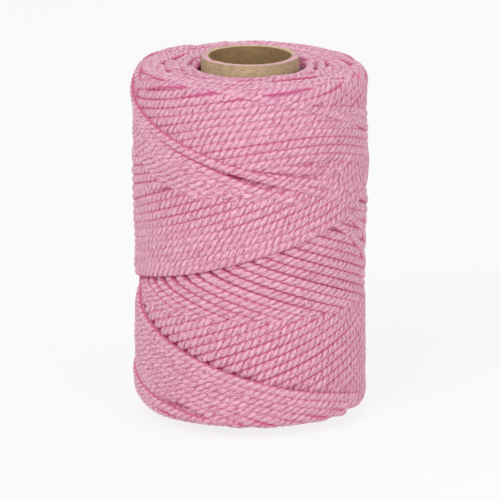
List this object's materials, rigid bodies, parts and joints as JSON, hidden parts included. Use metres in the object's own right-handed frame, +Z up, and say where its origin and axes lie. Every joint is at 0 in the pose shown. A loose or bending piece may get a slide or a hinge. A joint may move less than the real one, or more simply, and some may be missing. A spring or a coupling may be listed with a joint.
{
  "type": "twine spool",
  "caption": "Length of three-strand laid twine, cross-wound on a spiral-wound paperboard tube that stands out of the winding at both ends.",
  "frame": {"origin": "centre of the tube's lower end, on the bore's axis", "axes": "+Z up along the tube's bore; -Y is the front, where the last downward turns cross the middle"},
  "size_m": [0.0898, 0.0898, 0.134],
  "materials": {
    "kraft_paper": "smooth kraft paper, slightly mottled",
    "board": "grey-brown chipboard, cut edge",
    "twine": "pink laid nylon twine, slightly shiny"
  },
  "bodies": {
    "root": {"liner_ply": "kraft_paper", "board_ply_1": "board", "board_ply_2": "board", "board_ply_3": "board", "board_ply_4": "board", "wrap_ply": "kraft_paper", "inner_winding": "twine", "outer_winding": "twine"}
  },
  "joints": []
}
